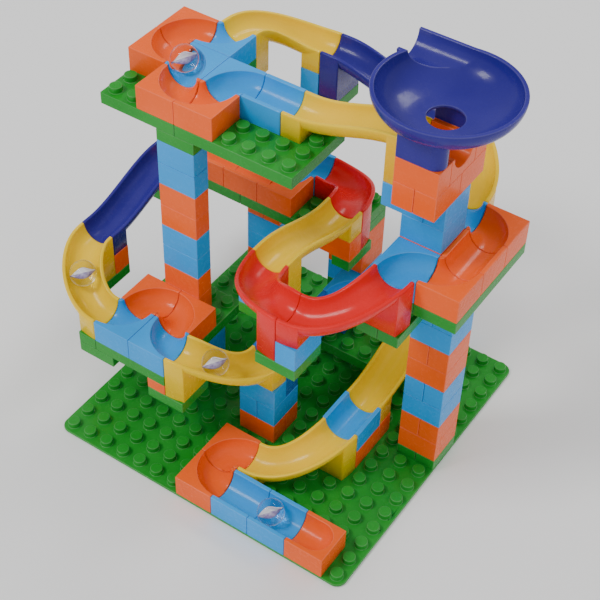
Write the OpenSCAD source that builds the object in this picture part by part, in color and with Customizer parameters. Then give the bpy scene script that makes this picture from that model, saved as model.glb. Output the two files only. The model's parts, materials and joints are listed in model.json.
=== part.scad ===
// Marble run of big building bricks: studded plates and bricks carry slides,
// grooved track blocks and a funnel, and glass marbles roll along the track.
// Places are in studs (i along X, j along Y) and in levels (k along Z), counted
// from the baseplate's front left corner and from its top face.

/* [Bricks] */
// Distance between studs
pitch = 16; // [15.8:0.1:16.2]
// Height of one plate; a brick and a track block are two
level = 9.6; // [9.5:0.1:9.8]
// Studs along each side of the baseplate
base_studs = 16; // [16:1:20]
// Thickness of the baseplate
base_t = 2; // [1.5:0.1:3]
// Diameter of a stud
stud_d = 9.4; // [9:0.1:9.4]
// Height of a stud
stud_h = 4.5; // [4:0.1:4.5]
// Wall of a brick and of a slide's leg
wall = 1.5; // [1.2:0.1:1.6]
// Space left round each brick
gap = 0.15; // [0.05:0.01:0.2]

/* [Slides] */
// Inner radius of a slide's channel and of a block's groove
groove_r = 12.5; // [12:0.1:12.8]
// Wall of a slide's channel
trough_wall = 2.8; // [2.6:0.1:2.9]
// Radius of a curved slide's centre line, in studs
curve_studs = 3; // [3:1:3]
// Length of a straight slide, in studs
straight_studs = 6; // [6:1:6]
// Levels that a slide comes down
slide_drop = 2; // [2:1:2]

/* [Funnel] */
// Outer radius of the rim
rim_r = 48.4; // [46:0.2:49]
// Height of the rim above the bricks that carry the funnel
funnel_h = 38.5; // [36:0.5:42]
// Radius of the hole in the middle
funnel_hole_r = 12.3; // [12:0.1:13]
// Depth of the bowl
bowl_depth = 21.5; // [20:0.5:24]
// Width of the flat rim
rim_w = 2.9; // [2.5:0.1:3.5]

/* [Marbles] */
// Diameter of a marble
marble_d = 20; // [16:0.5:20]

/* [Hidden] */
$fn = 64;
brick_levels = 2;
brick_h = brick_levels * level;
tube_d = 13;
tube_bore_d = 10.4;
track_hollow = 5;
sunk = 1;
// A brick stands this little above the one below it, so the two stay separate pieces
seat = 0.02;
base_corner_r = 8;
base_side = base_studs * pitch;
// A slide's section: outer radius, flat underside and half its width at the legs
trough_r = groove_r + trough_wall;
flat_z = trough_r - 1;
leg_half_w = pitch - 0.5;
leg_top = 1.2;
leg_levels = 4;
high_cut_r = groove_r + 1.5;
low_cut_r = groove_r + 0.3;
end_inset = gap + 0.05;
curve_r = curve_studs * pitch;
straight_l = straight_studs * pitch;
drop_z = slide_drop * level;
flat_share = 1 / 12;
stations = 14;
// The funnel's hole lies over a track block, and its chute runs along one side
funnel_cell = [14, 9];
funnel_level = 30;
chute_wall = 2.7;
chute_r = groove_r + chute_wall;
chute_l = 3 * pitch;
chute_y = rim_r - chute_r - 0.6;
bowl_wall = 2;
bowl_steps = 20;
funnel_leg_r = pitch / 2 - gap;
// A marble in a level groove clears the groove's floor by this much
marble_lift = 0.3;
marble_drop = groove_r - marble_d / 2 - marble_lift;
// Where the marbles lie: angle round a block's corner, share of a slide, place along X
top_marble_angle = 68;
left_marble_share = 0.4525;
lower_marble_share = 0.345;
centre_marble_share = 0.6;
exit_marble_x = 58;

green = [0.20, 0.60, 0.24];
orange = [0.94, 0.43, 0.16];
blue = [0.22, 0.60, 0.86];
yellow = [0.97, 0.78, 0.16];
red = [0.86, 0.16, 0.16];
indigo = [0.17, 0.19, 0.50];
mid_blue = [0.00, 0.42, 0.75];
clear = [0.80, 0.88, 0.95, 0.6];

// ---- places ----

// The corner of cell (i, j) at level k, which is a plate's height times k above the baseplate
function cell_pos(i, j, k) = [
    i * pitch - base_side / 2,
    j * pitch - base_side / 2,
    base_t + k * level
];

module at_cell(i, j, k) {
    translate(cell_pos(i, j, k)) children();
}

// ---- bricks and plates ----

// Studs on nx by ny cells, standing on height z
module studs(nx, ny, z) {
    for (x = [0.5 : nx - 0.5], y = [0.5 : ny - 0.5])
        translate([x * pitch, y * pitch, z - sunk])
            cylinder(d = stud_d, h = stud_h + sunk);
}

// Block of nx by ny cells, open below to the height hollow, with gripping tubes
module shell(nx, ny, h, hollow) {
    difference() {
        translate([gap, gap, seat])
            cube([nx * pitch - 2 * gap, ny * pitch - 2 * gap, h - seat]);
        translate([gap + wall, gap + wall, -sunk])
            cube([nx * pitch - 2 * (gap + wall), ny * pitch - 2 * (gap + wall), hollow + sunk]);
    }
    if (nx > 1 && ny > 1)
        for (x = [1 : nx - 1], y = [1 : ny - 1])
            translate([x * pitch, y * pitch, seat])
                difference() {
                    cylinder(d = tube_d, h = hollow + wall / 2);
                    translate([0, 0, -sunk])
                        cylinder(d = tube_bore_d, h = hollow + sunk);
                }
}

// Studded brick of nx by ny cells and nk levels, its corner on cell (i, j) at level k
module brick(i, j, k, nx, ny, nk = brick_levels) {
    at_cell(i, j, k) {
        shell(nx, ny, nk * level, nk * level - wall);
        studs(nx, ny, nk * level);
    }
}

module plate(i, j, k, nx, ny) {
    brick(i, j, k, nx, ny, 1);
}

// Four-stud track block whose groove turns a quarter about one corner, [0 or 1, 0 or 1]
module turn_block(i, j, k, corner) {
    at_cell(i, j, k)
        difference() {
            shell(2, 2, brick_h, track_hollow);
            translate([corner.x * 2 * pitch, corner.y * 2 * pitch, brick_h])
                rotate_extrude()
                    translate([pitch, 0])
                        circle(r = groove_r);
        }
}

// Four-stud track block with a straight groove along X, or along Y at angle 90
module straight_block(i, j, k, angle = 0) {
    at_cell(i, j, k)
        difference() {
            shell(2, 2, brick_h, track_hollow);
            translate([pitch, pitch, brick_h])
                rotate(angle)
                    rotate([0, 90, 0])
                        cylinder(r = groove_r, h = 3 * pitch, center = true);
        }
}

// Four-stud track block whose groove comes in along X and ends in a round pocket
module end_block(i, j, k) {
    at_cell(i, j, k)
        difference() {
            shell(2, 2, brick_h, track_hollow);
            translate([-sunk, pitch, brick_h])
                rotate([0, 90, 0])
                    cylinder(r = groove_r, h = pitch + sunk);
            translate([pitch, pitch, brick_h])
                sphere(r = groove_r);
        }
}

// ---- slides ----

// Section of the channel, seen along the slope: the inner half circle, then the
// outer one back again with a flat underside
arc_steps = 12;
function arc_angle(n) = 180 + 180 * n / arc_steps;
section = concat(
    [for (n = [0 : arc_steps])
        groove_r * [cos(arc_angle(n)), sin(arc_angle(n))]],
    [for (n = [arc_steps : -1 : 0])
        [trough_r * cos(arc_angle(n)), max(-flat_z, trough_r * sin(arc_angle(n)))]]
);

// Height lost at share t of the way: level at both ends, with a smooth slope between
function ease(u) = u * u * (3 - 2 * u);
function fall(t) = drop_z * ease(min(1, max(0, (t - flat_share) / (1 - 2 * flat_share))));

// Place of a section's point at share t of a straight slide and of a curved one
function on_straight(t, p) = [
    end_inset + t * (straight_l - 2 * end_inset),
    p.x,
    p.y - fall(t)
];
inset_angle = end_inset / curve_r * 180 / PI;
function curve_angle(t) = inset_angle + t * (90 - 2 * inset_angle);
function on_curve(t, p) = [
    (curve_r - p.x) * sin(curve_angle(t)),
    curve_r - (curve_r - p.x) * cos(curve_angle(t)),
    p.y - fall(t)
];

// The channel as one closed skin through all its sections
module trough(curved) {
    m = len(section);
    points = [for (s = [0 : stations], p = section)
        curved ? on_curve(s / stations, p) : on_straight(s / stations, p)];
    sides = [for (s = [0 : stations - 1], n = [0 : m - 1])
        let (a = s * m + n, b = s * m + (n + 1) % m)
        each [[a, b, b + m], [a, b + m, a + m]]];
    last = stations * m;
    caps = [for (n = [0 : arc_steps - 1])
        let (a = n, b = n + 1, c = m - 2 - n, d = m - 1 - n)
        each [[d, c, b, a], [last + a, last + b, last + c, last + d]]];
    polyhedron(points = points, faces = concat(sides, caps));
}

// One leg, a stud long and two wide, hanging below a channel's lip at height 0
module leg_block(levels) {
    h = levels * level;
    translate([gap, -leg_half_w, -h])
        cube([pitch - 2 * gap, 2 * leg_half_w, h - leg_top]);
}

module leg_room(levels, cut_r) {
    h = levels * level;
    translate([gap + wall, wall - leg_half_w, -h - sunk])
        cube([pitch - 2 * (gap + wall), 2 * (leg_half_w - wall), h + sunk - cut_r - 0.4]);
}

module straight_cut(cut_r) {
    translate([-sunk, 0, 0])
        rotate([0, 90, 0])
            cylinder(r = cut_r, h = pitch + 2 * sunk);
}

module curve_cut(cut_r) {
    translate([0, curve_r, 0])
        rotate_extrude()
            translate([curve_r, 0])
                circle(r = cut_r);
}

module straight_leg(levels, cut_r) {
    difference() {
        leg_block(levels);
        leg_room(levels, cut_r);
        straight_cut(cut_r);
    }
}

module straight_legs() {
    straight_leg(leg_levels, high_cut_r);
    translate([straight_l - pitch, 0, -drop_z])
        straight_leg(leg_levels - slide_drop, low_cut_r);
}

// A round column about a curve's centre, which trims the legs to the curve's outer side
module curve_reach(r) {
    translate([0, curve_r, -leg_levels * level - 2 * sunk])
        cylinder(r = r, h = (leg_levels + 1) * level);
}

module low_leg_place() {
    translate([curve_r, curve_r, 0])
        rotate(90)
            translate([-pitch, 0, 0])
                children();
}

module curve_legs() {
    outside_r = curve_r + leg_half_w;
    low_levels = leg_levels - slide_drop;
    difference() {
        intersection() {
            leg_block(leg_levels);
            curve_reach(outside_r);
        }
        intersection() {
            leg_room(leg_levels, high_cut_r);
            curve_reach(outside_r - wall);
        }
        curve_cut(high_cut_r);
    }
    translate([0, 0, -drop_z])
        difference() {
            intersection() {
                low_leg_place() leg_block(low_levels);
                curve_reach(outside_r);
            }
            intersection() {
                low_leg_place() leg_room(low_levels, low_cut_r);
                curve_reach(outside_r - wall);
            }
            curve_cut(low_cut_r);
        }
}

// A slide whose channel starts at the middle of cell line (i, j) with its lip at level k.
// heading counts quarter turns from +X; turn is 0 straight, 1 to the left, -1 to the right
module slide(i, j, k, heading, turn = 0) {
    at_cell(i, j, k)
        rotate(90 * heading)
            if (turn == 0) {
                trough(false);
                straight_legs();
            } else {
                mirror([0, turn < 0 ? 1 : 0, 0]) {
                    trough(true);
                    curve_legs();
                }
            }
}

// ---- base, decks and funnel ----

module baseplate() {
    inner = base_side / 2 - base_corner_r;
    color(green) {
        translate([-base_side / 2, -inner, 0])
            cube([base_side, 2 * inner, base_t]);
        translate([-inner, -base_side / 2, 0])
            cube([2 * inner, base_side, base_t]);
        for (x = [-inner, inner], y = [-inner, inner])
            translate([x, y, 0])
                cylinder(r = base_corner_r, h = base_t);
        at_cell(0, 0, 0)
            studs(base_studs, base_studs, 0);
    }
}

// Half of a bowl's section: a quarter ellipse from the hole out to the rim at height 0
function bowl_arc(across, deep) = [for (n = [0 : bowl_steps])
    let (a = 90 * n / bowl_steps)
    [funnel_hole_r + across * sin(a), -deep * cos(a)]];

function reversed(list) = [for (n = [len(list) - 1 : -1 : 0]) list[n]];

outer_arc = bowl_arc(rim_r - funnel_hole_r, bowl_depth + bowl_wall);
inner_arc = bowl_arc(rim_r - rim_w - funnel_hole_r, bowl_depth);

module bowl() {
    rotate_extrude()
        polygon(concat(outer_arc, reversed(inner_arc)));
}

// The room inside the bowl, from the hole's edge up past the rim
module bowl_room() {
    rotate_extrude()
        polygon(concat([[0, sunk], [0, -bowl_depth]], inner_arc, [[rim_r - rim_w, sunk]]));
}

// A rod along the chute, from the chute's mouth to the middle of the bowl
module chute_rod(r, past = 0) {
    translate([-chute_l - past, chute_y, 0])
        rotate([0, 90, 0])
            cylinder(r = r, h = chute_l + past);
}

// The chute as a half tube, open into the bowl
module chute() {
    difference() {
        chute_rod(chute_r);
        chute_rod(groove_r, sunk);
        translate([-chute_l - sunk, chute_y - chute_r - sunk, 0])
            cube([chute_l + 2 * sunk, 2 * (chute_r + sunk), chute_r + sunk]);
        bowl_room();
    }
}

// Outline of a funnel leg: square at one end, round at the other
function leg_outline(r, back) = concat(
    [[back, r], [back, -r]],
    [for (a = [-90 : 15 : 90]) [pitch / 2 + r * cos(a), r * sin(a)]]
);

module funnel_leg(y) {
    inner_r = funnel_leg_r - wall;
    difference() {
        translate([0, y, -funnel_h])
            linear_extrude(funnel_h)
                polygon(leg_outline(funnel_leg_r, gap - pitch));
        translate([0, y, -funnel_h - sunk])
            linear_extrude(track_hollow + sunk)
                polygon(leg_outline(inner_r, gap + wall - pitch));
        bowl_room();
        chute_rod(groove_r + trough_wall / 2, sunk);
    }
}

module funnel() {
    leg_y = 1.5 * pitch;
    color(indigo)
        translate(cell_pos(funnel_cell.x, funnel_cell.y, funnel_level) + [0, 0, funnel_h]) {
            difference() {
                bowl();
                chute_rod(groove_r);
            }
            chute();
            funnel_leg(-leg_y);
            funnel_leg(leg_y);
        }
}

// Two plates side by side make the studded top deck
module top_deck_left() {
    color(green) plate(-1, 6, 25, 4, 6);
}

module top_deck_right() {
    color(green) plate(3, 6, 25, 6, 4);
}

module right_deck() {
    color(green) {
        plate(15, 6, 19, 2, 6);
        plate(13, 6, 19, 2, 7);
    }
}

module middle_deck() {
    color(green) {
        plate(-3, 12, 11, 1, 4);
        plate(-2, 12, 11, 4, 4);
        plate(2, 12, 11, 6, 4);
    }
}

module lower_deck() {
    color(green) {
        plate(1, 2, 7, 4, 6);
        plate(0, 2, 7, 1, 2);
    }
}

module link_deck() {
    color(green) {
        plate(7, 10, 3, 4, 4);
        plate(8, 14, 3, 1, 2);
        plate(9, 14, 3, 2, 2);
        plate(11, 14, 3, 2, 2);
    }
}

// ---- the slides, from the top down ----

module front_slide() {
    color(yellow) slide(13, 9, 30, 2);
}

module back_curve() {
    color(yellow) slide(2, 12, 28, 1, -1);
}

module back_slide() {
    color(indigo) slide(5, 15, 26, 0);
}

module right_curve() {
    color(yellow) slide(11, 15, 24, 0, -1);
}

module large_red_curve() {
    color(red) slide(14, 6, 22, 3, -1);
}

module left_red_curve() {
    color(red) slide(11, 3, 20, 2, -1);
}

module middle_slide() {
    color(yellow) slide(8, 6, 18, 1);
}

module upper_red_curve() {
    color(red) slide(8, 12, 16, 1, 1);
}

module left_slide() {
    color(indigo) slide(-2, 12, 14, 3);
}

module left_curve() {
    color(yellow) slide(-2, 6, 12, 3, 1);
}

module lower_curve() {
    color(yellow) slide(5, 3, 10, 0, 1);
}

module centre_slide() {
    color(mid_blue) slide(8, 6, 8, 1);
}

module low_slide() {
    color(yellow) slide(12, 14, 6, 3);
}

module exit_curve() {
    color(yellow) slide(12, 6, 4, 3, -1);
}

// ---- track blocks ----

module top_track_blue() {
    color(blue) {
        straight_block(5, 8, 26);
        turn_block(3, 8, 26, [1, 0]);
        turn_block(1, 8, 26, [0, 0]);
        turn_block(1, 10, 26, [0, 1]);
    }
}

module top_track_orange() {
    color(orange) {
        turn_block(3, 6, 26, [0, 1]);
        turn_block(1, 6, 26, [1, 1]);
        turn_block(-1, 8, 26, [1, 1]);
        turn_block(-1, 10, 26, [1, 0]);
    }
}

module funnel_track_block() {
    color(orange) straight_block(13, 8, 28);
}

module right_track_blue() {
    color(blue) {
        turn_block(13, 10, 20, [1, 1]);
        turn_block(13, 6, 20, [1, 0]);
    }
}

module right_track_orange() {
    color(orange) {
        turn_block(15, 10, 20, [0, 0]);
        straight_block(15, 8, 20, 90);
        turn_block(15, 6, 20, [0, 1]);
    }
}

module middle_track_blue() {
    color(blue) turn_block(3, 14, 12, [1, 0]);
}

module middle_track_orange() {
    color(orange) {
        turn_block(3, 12, 12, [0, 1]);
        straight_block(1, 12, 12);
        straight_block(-1, 12, 12);
        turn_block(-3, 12, 12, [1, 0]);
    }
}

module lower_track_blue() {
    color(blue) {
        turn_block(1, 2, 8, [0, 1]);
        turn_block(3, 2, 8, [1, 1]);
    }
}

module lower_track_orange() {
    color(orange) {
        turn_block(1, 4, 8, [1, 0]);
        turn_block(3, 4, 8, [0, 0]);
    }
}

module link_track_blue() {
    color(blue) {
        turn_block(7, 12, 4, [1, 0]);
        turn_block(9, 14, 4, [1, 0]);
    }
}

module link_track_orange() {
    color(orange) {
        turn_block(9, 12, 4, [0, 1]);
        turn_block(11, 14, 4, [0, 0]);
    }
}

module low_track_block() {
    color(blue) straight_block(11, 6, 2, 90);
}

module exit_track_blue() {
    color(blue) {
        straight_block(9, 0, 0);
        straight_block(11, 0, 0);
    }
}

module exit_track_orange() {
    color(orange) {
        turn_block(7, 2, 0, [1, 0]);
        turn_block(7, 0, 0, [1, 1]);
    }
}

module exit_end_block() {
    color(orange) end_block(13, 0, 0);
}

// ---- supports ----

// Loose green plates that tie slides, decks and columns together
module joining_plates() {
    color(green) {
        // under the top deck
        plate(2, 6, 24, 2, 1);
        plate(1, 10, 24, 2, 2);
        plate(1, 11, 23, 1, 2);
        // under the joints between slides
        plate(4, 14, 21, 2, 2);
        plate(10, 14, 19, 2, 2);
        plate(10, 2, 15, 2, 2);
        plate(7, 5, 13, 2, 2);
        plate(8, 11, 11, 1, 2);
        plate(-3, 5, 7, 2, 2);
        // under the middle deck
        plate(-3, 12, 10, 2, 1);
        plate(-3, 11, 9, 2, 2);
        plate(6, 14, 10, 2, 2);
        plate(6, 14, 3, 2, 2);
        plate(6, 14, 2, 2, 2);
        plate(1, 14, 0, 2, 2);
        // under the lower deck
        plate(2, 6, 6, 2, 2);
        plate(0, 2, 6, 2, 2);
        plate(4, 2, 5, 2, 2);
        // under the link deck
        for (c = [[7, 12], [9, 14], [11, 14]])
            plate(c.x, c.y, 2, 2, 2);
    }
}

module joint_bricks_blue() {
    color(blue) {
        brick(4, 14, 22, 1, 2);
        brick(10, 14, 20, 1, 2);
        brick(11, 2, 16, 1, 2);
        brick(7, 5, 14, 2, 1);
    }
}

module joint_bricks_orange() {
    color(orange) {
        brick(7, 11, 12, 2, 1);
        brick(-3, 6, 8, 2, 1);
        plate(4, 2, 6, 1, 2);
    }
}

// Courses of the right tower change between one brick and two half bricks
module whole_course(i, j, k) {
    brick(i, j, k, 2, 2);
}

module split_course(i, j, k) {
    brick(i, j, k, 1, 2);
    brick(i + 1, j, k, 1, 2);
}

module right_tower_orange() {
    color(orange)
        for (k = [1, 9]) {
            whole_course(14, 8, k);
            split_course(14, 8, k + brick_levels);
        }
}

module right_tower_blue() {
    color(blue)
        for (k = [5, 13]) {
            whole_course(14, 8, k);
            split_course(14, 8, k + brick_levels);
        }
}

module right_tower_plates() {
    color(green) {
        plate(14, 8, 0, 1, 2);
        plate(15, 8, 0, 1, 2);
        plate(13, 5, 17, 1, 6);
        plate(14, 5, 17, 1, 6);
        plate(15, 8, 17, 1, 2);
        plate(14, 8, 18, 2, 2);
    }
}

module left_tower_orange() {
    color(orange)
        for (k = [8, 10, 16, 18])
            brick(2, 6, k, 2, 1);
}

module left_tower_blue() {
    color(blue)
        for (k = [12, 14, 20, 22])
            brick(2, 6, k, 2, 1);
}

module funnel_tower_orange() {
    color(orange) {
        brick(13, 8, 20, 2, 2);
        brick(13, 7, 26, 1, 2);
        brick(14, 7, 26, 1, 2);
        brick(13, 9, 26, 2, 2);
        brick(13, 7, 28, 2, 1);
        brick(13, 10, 28, 2, 1);
    }
}

module funnel_tower_blue() {
    color(blue) {
        brick(13, 8, 22, 2, 2);
        brick(12, 8, 24, 2, 2);
        brick(14, 8, 24, 1, 2);
    }
}

module centre_tower_orange() {
    color(orange)
        for (j = [5, 6])
            brick(7, j, 0, 2, 1);
}

module centre_tower_blue() {
    color(blue) {
        split_course(7, 5, 2);
        brick(7, 5, 4, 2, 1);
    }
}

// The two columns under the middle deck
module back_columns_orange() {
    color(orange) {
        brick(1, 14, 1, 2, 2);
        split_course(1, 14, 7);
        brick(6, 14, 6, 2, 2);
        brick(6, 14, 8, 2, 2);
    }
}

module back_columns_blue() {
    color(blue) {
        for (k = [3, 5, 9])
            brick(1, 14, k, 2, 2);
        for (k = [0, 4])
            brick(6, 14, k, 2, 2);
    }
}

module lower_column() {
    color(blue)
        for (k = [0, 2, 4])
            brick(2, 6, k, 2, 2);
}

module link_posts() {
    color(blue)
        for (c = [[7, 12], [9, 14], [11, 14]])
            brick(c.x, c.y, 0, 2, 2);
}

module low_slide_bricks() {
    color(orange) {
        brick(11, 6, 0, 2, 2);
        brick(11, 8, 0, 2, 1);
        brick(11, 13, 0, 2, 1);
    }
}

// ---- marbles ----

// A marble lying in the level groove of a block whose top is at level k
module level_marble(x, y, k) {
    color(clear)
        translate([x, y, base_t + k * level - marble_drop])
            sphere(d = marble_d);
}

// A marble lying in a slide's channel at share t of the way. It touches along the
// normal of the slope there, found from the fall over a short step
step_t = 0.002;
function channel_at(curved, t, drop) = curved
    ? on_curve(t, [0, -drop])
    : on_straight(t, [0, -drop]);
function slope_normal(v) = [-v.x * v.z, -v.y * v.z, v.x * v.x + v.y * v.y] / norm([v.x, v.y]) / norm(v);

module slide_marble(i, j, k, heading, turn, t) {
    curved = turn != 0;
    way = channel_at(curved, t + step_t, 0) - channel_at(curved, t - step_t, 0);
    centre = channel_at(curved, t, groove_r) + slope_normal(way) * (marble_d / 2 + marble_lift);
    color(clear)
        at_cell(i, j, k)
            rotate(90 * heading)
                mirror([0, turn < 0 ? 1 : 0, 0])
                    translate(centre)
                        sphere(d = marble_d);
}

module marble_top() {
    level_marble(-7 * pitch + pitch * cos(top_marble_angle), pitch * sin(top_marble_angle), 28);
}

module marble_left() {
    slide_marble(-2, 6, 12, 3, 1, left_marble_share);
}

module marble_lower() {
    slide_marble(5, 3, 10, 0, 1, lower_marble_share);
}

module marble_centre() {
    slide_marble(8, 6, 8, 1, 0, centre_marble_share);
}

module marble_exit() {
    level_marble(exit_marble_x, -7 * pitch, 2);
}

// ---- output ----

baseplate();
funnel();
front_slide();
back_curve();
back_slide();
right_curve();
large_red_curve();
left_red_curve();
middle_slide();
upper_red_curve();
left_slide();
left_curve();
lower_curve();
centre_slide();
low_slide();
exit_curve();
top_track_blue();
top_track_orange();
funnel_track_block();
right_track_blue();
right_track_orange();
middle_track_blue();
middle_track_orange();
lower_track_blue();
lower_track_orange();
link_track_blue();
link_track_orange();
low_track_block();
exit_track_blue();
exit_track_orange();
exit_end_block();
top_deck_left();
top_deck_right();
right_deck();
middle_deck();
lower_deck();
link_deck();
joining_plates();
joint_bricks_blue();
joint_bricks_orange();
right_tower_orange();
right_tower_blue();
right_tower_plates();
left_tower_orange();
left_tower_blue();
funnel_tower_orange();
funnel_tower_blue();
centre_tower_orange();
centre_tower_blue();
back_columns_orange();
back_columns_blue();
lower_column();
link_posts();
low_slide_bricks();
marble_top();
marble_left();
marble_lower();
marble_centre();
marble_exit();
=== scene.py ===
"""Looks of the marble run: moulded plastic bricks and slides, and glass marbles with a coloured swirl."""
import json
import math

import bmesh
import bpy
from mathutils import Matrix, Vector


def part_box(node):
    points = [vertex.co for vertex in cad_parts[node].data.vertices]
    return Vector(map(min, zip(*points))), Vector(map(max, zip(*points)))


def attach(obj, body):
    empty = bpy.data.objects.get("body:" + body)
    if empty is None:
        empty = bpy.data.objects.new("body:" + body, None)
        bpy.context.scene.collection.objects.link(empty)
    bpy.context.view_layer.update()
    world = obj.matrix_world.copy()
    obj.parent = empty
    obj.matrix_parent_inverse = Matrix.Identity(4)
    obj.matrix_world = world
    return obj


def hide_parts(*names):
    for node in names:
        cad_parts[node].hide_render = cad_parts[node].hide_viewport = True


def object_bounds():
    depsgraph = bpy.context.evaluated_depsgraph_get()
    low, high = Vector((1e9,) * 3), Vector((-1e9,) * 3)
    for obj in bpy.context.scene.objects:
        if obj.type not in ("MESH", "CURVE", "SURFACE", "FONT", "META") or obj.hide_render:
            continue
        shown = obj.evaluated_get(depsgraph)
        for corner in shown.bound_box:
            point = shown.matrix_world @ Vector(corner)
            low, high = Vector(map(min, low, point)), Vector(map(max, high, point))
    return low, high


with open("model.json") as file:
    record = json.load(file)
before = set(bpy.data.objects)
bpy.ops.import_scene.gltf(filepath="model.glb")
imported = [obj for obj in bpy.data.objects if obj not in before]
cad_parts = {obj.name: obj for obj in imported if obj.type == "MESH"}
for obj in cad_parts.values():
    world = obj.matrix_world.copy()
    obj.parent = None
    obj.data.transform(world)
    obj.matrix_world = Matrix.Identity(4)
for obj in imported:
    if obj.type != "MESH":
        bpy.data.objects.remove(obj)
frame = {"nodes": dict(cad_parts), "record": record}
cad_low, cad_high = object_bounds()

# Colours of the plastics, as the finished surface should look in soft light
COLOURS = {
    "green_plastic": (0.012, 0.30, 0.022),
    "orange_plastic": (1.0, 0.125, 0.006),
    "blue_plastic": (0.014, 0.36, 0.88),
    "yellow_plastic": (1.0, 0.66, 0.006),
    "red_plastic": (0.86, 0.010, 0.010),
    "indigo_plastic": (0.024, 0.016, 0.25),
    "mid_blue_plastic": (0.006, 0.17, 0.62),
}
# How much paler the rounded edges are painted than their plastic: a painted highlight along every edge
EDGE_HIGHLIGHT = 0.04
# Grain of the plastic, in waves a metre: flow marks, scuffs, broad ripple and fine skin
FLOW_SCALE = 22
SCUFF_SCALE = 260
RIPPLE_SCALE = 70
SKIN_SCALE = 900
# Grain of the marbles' clear and coloured glass
SMEAR_SCALE = 180
MOTTLE_SCALE = 400

# Rounding of the bricks' edges, and the angles above and below which edges are round or flat
EDGE_ROUND = 0.00055
EDGE_ANGLE = math.radians(36)
FLAT_ANGLE = math.radians(0.4)
WELD_REACH = 0.00001

# The grid of studs and plates, and the sizes of a slide
PITCH = 0.016
LEVEL = 0.0096
BASE_T = 0.002
HALF_STUDS = 8
GAP = 0.00015
WALL = 0.0015
GROOVE_R = 0.0125
TROUGH_R = 0.0153
FLAT_Z = 0.0143
CURVE_R = 3 * PITCH
STRAIGHT_L = 6 * PITCH
DROP = 2 * LEVEL
LEG_H = 4 * LEVEL
LEG_HALF_W = 0.0155
LEG_TOP = 0.0012
FLAT_SHARE = 1 / 12
# Rounding of a channel's lips and ends, and how finely a slide is drawn
LIP_ROUND = 0.0009
END_ROUND = 0.0003
STATIONS = 48
SECTION_STEPS = 36
SIDE_STEPS = 24
# Rounding of a leg's upright edges outside, at its foot and inside
LEG_ROUND = 0.0007
FOOT_ROUND = 0.0005
INNER_ROUND = 0.0003
SHARP_ANGLE = math.radians(50)

# Start of each slide: cell line i and j, level k, quarter turns of its heading, and
# its bend: 0 straight, 1 to the left, -1 to the right
SLIDES = {
    "front_slide": (13, 9, 30, 2, 0),
    "back_curve": (2, 12, 28, 1, -1),
    "back_slide": (5, 15, 26, 0, 0),
    "right_curve": (11, 15, 24, 0, -1),
    "large_red_curve": (14, 6, 22, 3, -1),
    "left_red_curve": (11, 3, 20, 2, -1),
    "middle_slide": (8, 6, 18, 1, 0),
    "upper_red_curve": (8, 12, 16, 1, 1),
    "left_slide": (-2, 12, 14, 3, 0),
    "left_curve": (-2, 6, 12, 3, 1),
    "lower_curve": (5, 3, 10, 0, 1),
    "centre_slide": (8, 6, 8, 1, 0),
    "low_slide": (12, 14, 6, 3, 0),
    "exit_curve": (12, 6, 4, 3, -1),
}

# How each marble's swirl lies: compass angle of its length, and its rise from level
MARBLES = {
    "marble_top": (40, 22),
    "marble_left": (44, 14),
    "marble_lower": (38, 26),
    "marble_centre": (10, 40),
    "marble_exit": (46, 20),
}
# A swirl's half length and reach as shares of the marble's radius, its twist and its grid
SWIRL_LENGTH = 0.86
SWIRL_REACH = 0.34
SWIRL_TWIST = 200
SWIRL_CURL = 0.7
SWIRL_ROWS = 28
SWIRL_COLUMNS = 8
SWIRL_THICK = 0.06

# The studio's lights: place, size and power
LIGHTS = {
    "key": ((-0.75, -1.0, 1.7), 0.5, 18),
    "fill": ((1.6, -0.6, 0.9), 1.2, 2),
    "back": ((0.2, 1.4, 1.6), 0.55, 10),
}
SKY_STRENGTH = 0.72
FLOOR_COLOUR = (0.93, 0.93, 0.93)
FLOOR_DROP = 0.0005

# The camera: its direction and tilt in degrees, how far off it is and what it looks at
CAMERA_AZIMUTH = 32.834
CAMERA_ELEVATION = 44.558
CAMERA_ROLL = 1.899
CAMERA_DISTANCE = 1.0285
CAMERA_AIM = (-0.0013, 0.0090, 0.1)
CAMERA_LENS = 83.36


# ---- materials ----

def node_tree(name):
    material = bpy.data.materials.new(name)
    material.use_nodes = True
    nodes = material.node_tree.nodes
    return material, nodes, material.node_tree.links, nodes["Principled BSDF"]


def noise(nodes, links, coords, scale, detail, roughness=0.5):
    texture = nodes.new("ShaderNodeTexNoise")
    texture.inputs["Scale"].default_value = scale
    texture.inputs["Detail"].default_value = detail
    texture.inputs["Roughness"].default_value = roughness
    links.new(coords.outputs["Object"], texture.inputs["Vector"])
    return texture.outputs["Fac"]


def map_range(nodes, links, value, low, high, from_low=0.3, from_high=0.7):
    mapped = nodes.new("ShaderNodeMapRange")
    mapped.inputs["From Min"].default_value = from_low
    mapped.inputs["From Max"].default_value = from_high
    mapped.inputs["To Min"].default_value = low
    mapped.inputs["To Max"].default_value = high
    links.new(value, mapped.inputs["Value"])
    return mapped.outputs["Result"]


def mix_colour(nodes, links, factor, first, second):
    mix = nodes.new("ShaderNodeMix")
    mix.data_type = "RGBA"
    links.new(factor, mix.inputs["Factor"])
    for socket, colour in ((mix.inputs[6], first), (mix.inputs[7], second)):
        if isinstance(colour, tuple):
            socket.default_value = (*colour, 1)
        else:
            links.new(colour, socket)
    return mix.outputs[2]


def lighter(colour, share):
    return tuple(c + (1 - c) * share for c in colour)


def darker(colour, share):
    return tuple(c * (1 - share) for c in colour)


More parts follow.
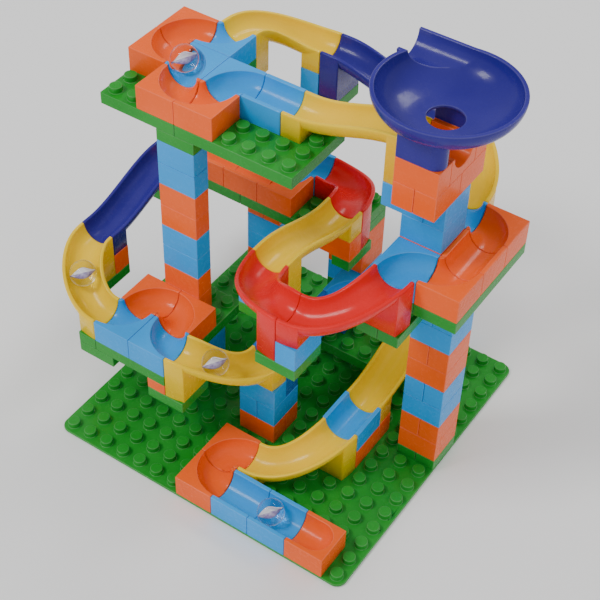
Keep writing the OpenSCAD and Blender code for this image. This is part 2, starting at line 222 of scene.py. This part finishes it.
def moulded_plastic(name, colour):
    """Glossy ABS: faint flow marks in the colour, orange-peel skin and fine scuffs."""
    material, nodes, links, shader = node_tree(name)
    coords = nodes.new("ShaderNodeTexCoord")
    flow = noise(nodes, links, coords, FLOW_SCALE, 4)
    flow_share = map_range(nodes, links, flow, 0, 1)
    body = mix_colour(nodes, links, flow_share, darker(colour, 0.10), lighter(colour, 0.015))
    links.new(body, shader.inputs["Base Color"])
    scuffs = noise(nodes, links, coords, SCUFF_SCALE, 6, 0.7)
    links.new(map_range(nodes, links, scuffs, 0.16, 0.34), shader.inputs["Roughness"])
    skin = noise(nodes, links, coords, SKIN_SCALE, 2)
    wave = noise(nodes, links, coords, RIPPLE_SCALE, 2)
    fine = nodes.new("ShaderNodeBump")
    fine.inputs["Strength"].default_value = 0.05
    fine.inputs["Distance"].default_value = 0.0002
    links.new(skin, fine.inputs["Height"])
    broad = nodes.new("ShaderNodeBump")
    broad.inputs["Strength"].default_value = 0.10
    broad.inputs["Distance"].default_value = 0.0008
    links.new(wave, broad.inputs["Height"])
    links.new(fine.outputs["Normal"], broad.inputs["Normal"])
    links.new(broad.outputs["Normal"], shader.inputs["Normal"])
    shader.inputs["IOR"].default_value = 1.50
    shader.inputs["Specular IOR Level"].default_value = 0.12
    shader.inputs["Coat Weight"].default_value = 0.10
    shader.inputs["Coat Roughness"].default_value = 0.10
    return material


def clear_glass():
    material, nodes, links, shader = node_tree("marble_glass")
    coords = nodes.new("ShaderNodeTexCoord")
    smear = noise(nodes, links, coords, SMEAR_SCALE, 3)
    links.new(map_range(nodes, links, smear, 0.0, 0.05), shader.inputs["Roughness"])
    tint = mix_colour(nodes, links, smear, (0.93, 0.97, 1.0), (1.0, 1.0, 1.0))
    links.new(tint, shader.inputs["Base Color"])
    shader.inputs["Transmission Weight"].default_value = 1
    shader.inputs["IOR"].default_value = 1.22
    shader.inputs["Sheen Weight"].default_value = 0.7
    shader.inputs["Sheen Roughness"].default_value = 0.25
    return material


def swirl_glass(name, colour):
    """The opaque coloured glass of a marble's vanes, faintly mottled."""
    material, nodes, links, shader = node_tree(name)
    coords = nodes.new("ShaderNodeTexCoord")
    streak = noise(nodes, links, coords, MOTTLE_SCALE, 5)
    streak_share = map_range(nodes, links, streak, 0, 1)
    shade = mix_colour(nodes, links, streak_share, colour, lighter(colour, 0.5))
    links.new(shade, shader.inputs["Base Color"])
    shader.inputs["Roughness"].default_value = 0.2
    return material


# ---- pieces ----

def dress(node, plastic, edge_highlight):
    """Gives a CAD node its plastic and its softly rounded edges, painted a little paler as a highlight."""
    piece = frame["nodes"][node]
    piece.data.materials.clear()
    piece.data.materials.append(plastic)
    piece.data.materials.append(edge_highlight)
    piece.data.shade_smooth()
    weld = piece.modifiers.new("weld", "WELD")
    weld.merge_threshold = WELD_REACH
    flats = piece.modifiers.new("flat_faces", "DECIMATE")
    flats.decimate_type = "DISSOLVE"
    flats.angle_limit = FLAT_ANGLE
    bevel = piece.modifiers.new("rounded_edges", "BEVEL")
    bevel.width = EDGE_ROUND
    bevel.segments = 2
    bevel.limit_method = "ANGLE"
    bevel.angle_limit = EDGE_ANGLE
    bevel.use_clamp_overlap = False
    # the rounded edge faces take the second, paler plastic: a painted edge highlight
    bevel.material = 1
    normals = piece.modifiers.new("even_normals", "WEIGHTED_NORMAL")
    normals.keep_sharp = False
    normals.weight = 60


# ---- slides ----

def spread(first, last, steps):
    return [first + (last - first) * n / steps for n in range(steps + 1)]


def fall(share):
    """Height lost along a slide: level at both ends, with a smooth slope between."""
    along = min(1.0, max(0.0, (share - FLAT_SHARE) / (1 - 2 * FLAT_SHARE)))
    return DROP * along * along * (3 - 2 * along)


def slide_place(i, j, k, heading, turn):
    """From a slide's own frame, where it starts at the origin along +X, to the model."""
    corner = Vector(((i - HALF_STUDS) * PITCH, (j - HALF_STUDS) * PITCH, BASE_T + k * LEVEL))
    side = -1 if turn < 0 else 1
    flip = Matrix.Diagonal((1, side, 1, 1))
    return Matrix.Translation(corner) @ Matrix.Rotation(heading * math.pi / 2, 4, "Z") @ flip


def on_slide(turn, share, across, height):
    """Point at a share of the way, across to the left and height above the lip."""
    if not turn:
        return Vector((share * STRAIGHT_L, across, height - fall(share)))
    angle = share * math.pi / 2
    reach = CURVE_R - across
    return Vector((reach * math.sin(angle), CURVE_R - reach * math.cos(angle), height - fall(share)))


def off_slide(turn, x, y):
    """Share of the way and distance across of a place seen from above."""
    if not turn:
        return x / STRAIGHT_L, y
    return math.atan2(x, CURVE_R - y) / (math.pi / 2), CURVE_R - math.hypot(x, CURVE_R - y)


def channel_section():
    """The channel's outline seen along the way: inner arc, rounded lip, outer arc, other lip."""
    inner_edge = math.asin(LIP_ROUND / GROOVE_R)
    outer_edge = math.asin(LIP_ROUND / TROUGH_R)
    inner = [(GROOVE_R * math.cos(a), GROOVE_R * math.sin(a))
             for a in spread(math.pi + inner_edge, 2 * math.pi - inner_edge, SECTION_STEPS)]
    lip = []
    for centre, angles in ((GROOVE_R + LIP_ROUND, (150, 120, 90)), (TROUGH_R - LIP_ROUND, (90, 60, 30))):
        for degrees in angles:
            a = math.radians(degrees)
            lip.append((centre + LIP_ROUND * math.cos(a), LIP_ROUND * (math.sin(a) - 1)))
    outer = [(TROUGH_R * math.cos(a), max(-FLAT_Z, TROUGH_R * math.sin(a)))
             for a in spread(-outer_edge, outer_edge - math.pi, SECTION_STEPS)]
    return inner + lip + outer + [(-x, z) for x, z in reversed(lip)]


def drawn_in(point, inset):
    """The outline's point moved into the wall, for a softly rounded end."""
    reach = math.hypot(*point)
    towards = inset if reach < (GROOVE_R + TROUGH_R) / 2 else -inset
    share = (reach + towards) / reach
    return point[0] * share, point[1] * share - (inset if point[1] > -LIP_ROUND else 0)


def add_rings(bm, rings, closed_ends):
    """Skins a list of point rings with quads, and closes its two ends if asked."""
    made = [[bm.verts.new(point) for point in ring] for ring in rings]
    for near, far in zip(made, made[1:]):
        for n in range(len(near)):
            m = (n + 1) % len(near)
            bm.faces.new((near[n], near[m], far[m], far[n]))
    if closed_ends:
        bm.faces.new(made[0])
        bm.faces.new(reversed(made[-1]))
    else:
        for n in range(len(made[0])):
            m = (n + 1) % len(made[0])
            bm.faces.new((made[-1][n], made[-1][m], made[0][m], made[0][n]))


def add_channel(bm, turn):
    section = channel_section()
    length = CURVE_R * math.pi / 2 if turn else STRAIGHT_L
    first = GAP / length
    bend = END_ROUND / length
    shares = [first] + spread(first + bend, 1 - first - bend, STATIONS) + [1 - first]
    rings = []
    for share in shares:
        inset = END_ROUND if share in (shares[0], shares[-1]) else 0
        ring = [drawn_in(point, inset) for point in section] if inset else section
        rings.append([on_slide(turn, share, x, z) for x, z in ring])
    add_rings(bm, rings, True)


def rounded_box(low, high, radius):
    """Points round a box seen from above, its corners rounded, close enough to follow a curve."""
    outline = []
    corners = ((high[0], high[1], 0), (low[0], high[1], 90), (low[0], low[1], 180), (high[0], low[1], 270))
    for n, (x, y, start) in enumerate(corners):
        centre_x = x + (radius if x == low[0] else -radius)
        centre_y = y + (radius if y == low[1] else -radius)
        for degrees in spread(start, start + 90, 4):
            a = math.radians(degrees)
            outline.append((centre_x + radius * math.cos(a), centre_y + radius * math.sin(a)))
        ahead = corners[(n + 1) % 4]
        end_x = ahead[0] + (radius if ahead[0] == low[0] else -radius)
        end_y = ahead[1] + (radius if ahead[1] == low[1] else -radius)
        a = math.radians(start + 90)
        begin = outline[-1]
        stop = (end_x + radius * math.cos(a), end_y + radius * math.sin(a))
        for share in spread(0, 1, SIDE_STEPS)[1:-1]:
            outline.append(tuple(b + (e - b) * share for b, e in zip(begin, stop)))
    return outline


def leg_outline(turn, low_leg, inset, radius):
    """A leg's outline from above, inset from its outside, trimmed to a curve's outer side."""
    low = (GAP + inset, inset - LEG_HALF_W)
    high = (PITCH - GAP - inset, LEG_HALF_W - inset)
    points = rounded_box(low, high, radius)
    if low_leg and turn:
        points = [(CURVE_R - y, CURVE_R + x - PITCH) for x, y in points]
    elif low_leg:
        points = [(STRAIGHT_L - PITCH + x, y) for x, y in points]
    if not turn:
        return points
    trimmed = []
    for x, y in points:
        reach = math.hypot(x, CURVE_R - y)
        share = min(1.0, (CURVE_R + LEG_HALF_W - inset) / reach)
        trimmed.append((x * share, CURVE_R + (y - CURVE_R) * share))
    return trimmed


def under_channel(turn, x, y):
    """Height of the middle of the channel's wall over a place, where a leg's wall ends."""
    share, across = off_slide(turn, x, y)
    middle = (GROOVE_R + TROUGH_R) / 2
    deep = math.sqrt(max(0.0, middle ** 2 - across ** 2))
    return -fall(share) - max(LEG_TOP, deep)


def add_leg(bm, turn, low_leg):
    """A hollow leg: a thin wall up to the channel, with a softened foot."""
    outside = leg_outline(turn, low_leg, 0, LEG_ROUND)
    foot = leg_outline(turn, low_leg, END_ROUND, FOOT_ROUND)
    inside = leg_outline(turn, low_leg, WALL, INNER_ROUND)
    rings = [
        [(x, y, -LEG_H) for x, y in foot],
        [(x, y, END_ROUND - LEG_H) for x, y in outside],
        [(x, y, under_channel(turn, x, y)) for x, y in outside],
        [(x, y, under_channel(turn, x, y)) for x, y in inside],
        [(x, y, -LEG_H) for x, y in inside],
    ]
    add_rings(bm, rings, False)


def build_slide(node, start, material):
    turn = start[4]
    bm = bmesh.new()
    add_channel(bm, turn)
    add_leg(bm, turn, False)
    add_leg(bm, turn, True)
    bmesh.ops.transform(bm, matrix=slide_place(*start), verts=bm.verts)
    bmesh.ops.recalc_face_normals(bm, faces=bm.faces)
    for face in bm.faces:
        face.smooth = True
    for edge in bm.edges:
        if len(edge.link_faces) == 2 and edge.calc_face_angle() > SHARP_ANGLE:
            edge.smooth = False
    mesh = bpy.data.meshes.new(node + "_moulding")
    bm.to_mesh(mesh)
    bm.free()
    mesh.materials.append(material)
    slide = bpy.data.objects.new(node + "_moulding", mesh)
    bpy.context.scene.collection.objects.link(slide)
    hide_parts(node)
    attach(slide, "run")


# ---- studio ----

def floor_and_light(centre, size):
    under = (centre.x, centre.y, cad_low.z - FLOOR_DROP)
    bpy.ops.mesh.primitive_plane_add(size=size * 40, location=under)
    floor = bpy.context.object
    floor.name = "floor"
    material, nodes, links, shader = node_tree("pale_floor")
    shader.inputs["Base Color"].default_value = (*FLOOR_COLOUR, 1)
    shader.inputs["Roughness"].default_value = 0.9
    floor.data.materials.append(material)
    world = bpy.data.worlds.new("studio")
    world.use_nodes = True
    background = world.node_tree.nodes["Background"]
    background.inputs["Color"].default_value = (1, 1, 1, 1)
    background.inputs["Strength"].default_value = SKY_STRENGTH
    bpy.context.scene.world = world
    for name, (place, width, watts) in LIGHTS.items():
        add_light(name, place, width, watts, centre)


def add_light(name, place, size, watts, aim):
    data = bpy.data.lights.new(name, "AREA")
    data.size = size
    data.energy = watts
    lamp = bpy.data.objects.new(name, data)
    lamp.location = place
    lamp.rotation_mode = "QUATERNION"
    lamp.rotation_quaternion = (aim - Vector(place)).to_track_quat("-Z", "Y")
    bpy.context.scene.collection.objects.link(lamp)


def add_camera():
    """A long lens from above the front right corner, turned a little about its own axis."""
    azimuth = math.radians(CAMERA_AZIMUTH)
    elevation = math.radians(CAMERA_ELEVATION)
    roll = math.radians(CAMERA_ROLL)
    back = Vector((math.sin(azimuth) * math.cos(elevation), -math.cos(azimuth) * math.cos(elevation),
                   math.sin(elevation)))
    right = Vector((math.cos(azimuth), math.sin(azimuth), 0))
    up = back.cross(right)
    data = bpy.data.cameras.new("camera")
    data.sensor_width = 36
    data.lens = CAMERA_LENS
    data.clip_end = 50
    camera = bpy.data.objects.new("camera", data)
    x_axis = math.cos(roll) * right + math.sin(roll) * up
    y_axis = math.cos(roll) * up - math.sin(roll) * right
    turn = Matrix((x_axis, y_axis, back)).transposed().to_4x4()
    camera.matrix_world = Matrix.Translation(Vector(CAMERA_AIM) + back * CAMERA_DISTANCE) @ turn
    bpy.context.scene.collection.objects.link(camera)
    bpy.context.scene.camera = camera


def build_marble(node, body, glass, colours, lie):
    low, high = (Vector(v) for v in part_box(node))
    centre = (low + high) / 2
    radius = (high.x - low.x) / 2
    mesh = bpy.data.meshes.new(node + "_glass")
    bm = bmesh.new()
    bmesh.ops.create_icosphere(bm, subdivisions=5, radius=radius)
    for face in bm.faces:
        face.smooth = True
    bm.to_mesh(mesh)
    bm.free()
    ball = bpy.data.objects.new(node + "_glass", mesh)
    ball.location = centre
    mesh.materials.append(glass)
    bpy.context.scene.collection.objects.link(ball)
    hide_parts(node)
    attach(ball, body)
    for number, material in enumerate(colours):
        vane = build_vane(f"{node}_vane_{number}", radius, number * 360 / len(colours), lie)
        vane.location = centre
        vane.data.materials.append(material)
        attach(vane, body)


def build_vane(name, radius, start, lie):
    """One twisted leaf of coloured glass inside a marble, its length along a compass angle and a rise."""
    mesh = bpy.data.meshes.new(name)
    bm = bmesh.new()
    heading, rise = (math.radians(angle) for angle in lie)
    turn = Matrix.Rotation(heading, 3, "Z") @ Matrix.Rotation(math.pi / 2 - rise, 3, "Y")
    grid = []
    for row in range(SWIRL_ROWS + 1):
        share = row / SWIRL_ROWS
        height = (2 * share - 1) * radius * SWIRL_LENGTH
        reach = radius * SWIRL_REACH * math.sqrt(max(0.0, 1 - (2 * share - 1) ** 2))
        angle = math.radians(start + SWIRL_TWIST * share)
        line = []
        for column in range(SWIRL_COLUMNS + 1):
            across = column / SWIRL_COLUMNS
            bend = angle + SWIRL_CURL * across
            point = Vector((reach * across * math.cos(bend), reach * across * math.sin(bend), height))
            line.append(bm.verts.new(turn @ point))
        grid.append(line)
    for row in range(SWIRL_ROWS):
        for column in range(SWIRL_COLUMNS):
            bm.faces.new((grid[row][column], grid[row][column + 1],
                          grid[row + 1][column + 1], grid[row + 1][column])).smooth = True
    bmesh.ops.remove_doubles(bm, verts=bm.verts, dist=1e-6)
    bm.to_mesh(mesh)
    bm.free()
    vane = bpy.data.objects.new(name, mesh)
    bpy.context.scene.collection.objects.link(vane)
    thick = vane.modifiers.new("thickness", "SOLIDIFY")
    thick.thickness = radius * SWIRL_THICK
    thick.offset = 0
    return vane


# ---- build ----

plastics = {slot: moulded_plastic(slot, colour) for slot, colour in COLOURS.items()}
# Second plastics for the rounded edges: the same colour painted paler, a painted edge highlight
highlit_edges = {
    slot: moulded_plastic(slot + "_edge", lighter(colour, EDGE_HIGHLIGHT)) for slot, colour in COLOURS.items()
}
slot_of = {row["node"]: row["material_slot"] for row in frame["record"]["subparts"]}
for node_name in frame["nodes"]:
    if slot_of[node_name] in plastics and node_name not in SLIDES:
        dress(node_name, plastics[slot_of[node_name]], highlit_edges[slot_of[node_name]])
for slide_name, start in SLIDES.items():
    build_slide(slide_name, start, plastics[slot_of[slide_name]])

glass = clear_glass()
swirls = [
    swirl_glass("swirl_white", (0.85, 0.85, 0.90)),
    swirl_glass("swirl_violet", (0.24, 0.16, 0.46)),
]
for marble, lie in MARBLES.items():
    body = marble.split("_")[1] + "_marble"
    build_marble(marble, body, glass, swirls, lie)

middle = (Vector(cad_low) + Vector(cad_high)) / 2
floor_and_light(middle, (Vector(cad_high) - Vector(cad_low)).length)
add_camera()
